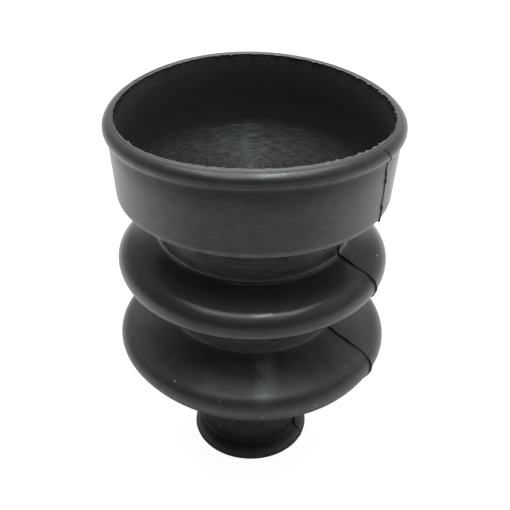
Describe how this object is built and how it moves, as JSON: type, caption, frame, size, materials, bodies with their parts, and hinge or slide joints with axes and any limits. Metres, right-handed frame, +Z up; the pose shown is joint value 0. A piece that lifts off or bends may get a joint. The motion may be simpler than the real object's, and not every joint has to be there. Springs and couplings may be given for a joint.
{
  "type": "rubber bellows boot",
  "caption": "Black rubber bellows boot: a shallow beaded cup over round folds that narrow to a beaded neck, for covering a push rod where it enters a housing.",
  "frame": {"origin": "middle of the flat end of the neck, on which the boot stands", "axes": "+Z up along the boot's axis, from the neck to the cup"},
  "size_m": [0.076, 0.076, 0.1069],
  "materials": {
    "black_rubber": "satin moulded rubber with a fine flash line"
  },
  "bodies": {
    "root": {"bellows_boot": "black_rubber"}
  },
  "joints": []
}
